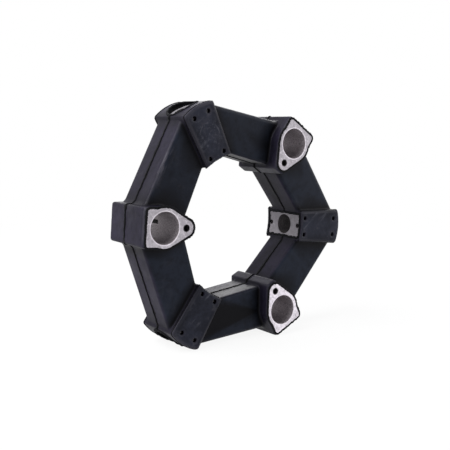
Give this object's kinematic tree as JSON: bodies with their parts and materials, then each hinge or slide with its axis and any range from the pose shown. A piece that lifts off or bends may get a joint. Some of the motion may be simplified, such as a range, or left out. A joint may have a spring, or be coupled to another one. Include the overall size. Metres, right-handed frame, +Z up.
{
  "type": "flexible shaft coupling",
  "caption": "Black rubber flexible shaft coupling ring with aluminium bushes moulded in, in turn bored along the axis and towards it.",
  "frame": {"origin": "on the ring's axis, in the parting plane halfway through the rubber's depth", "axes": "Y is the ring's axis and the axial flanges look towards -Y; Z is up and the ring stands on the rounded corners of its two lower blocks"},
  "size_m": [0.2103, 0.0537, 0.1989],
  "materials": {
    "rubber": "satin",
    "aluminium": "satin"
  },
  "bodies": {
    "root": {"rubber_ring": "rubber", "axial_bush_upper_right": "aluminium", "axial_bush_left": "aluminium", "axial_bush_lower_right": "aluminium", "radial_bush_right": "aluminium", "radial_bush_top": "aluminium", "radial_bush_bottom": "aluminium"}
  },
  "joints": []
}
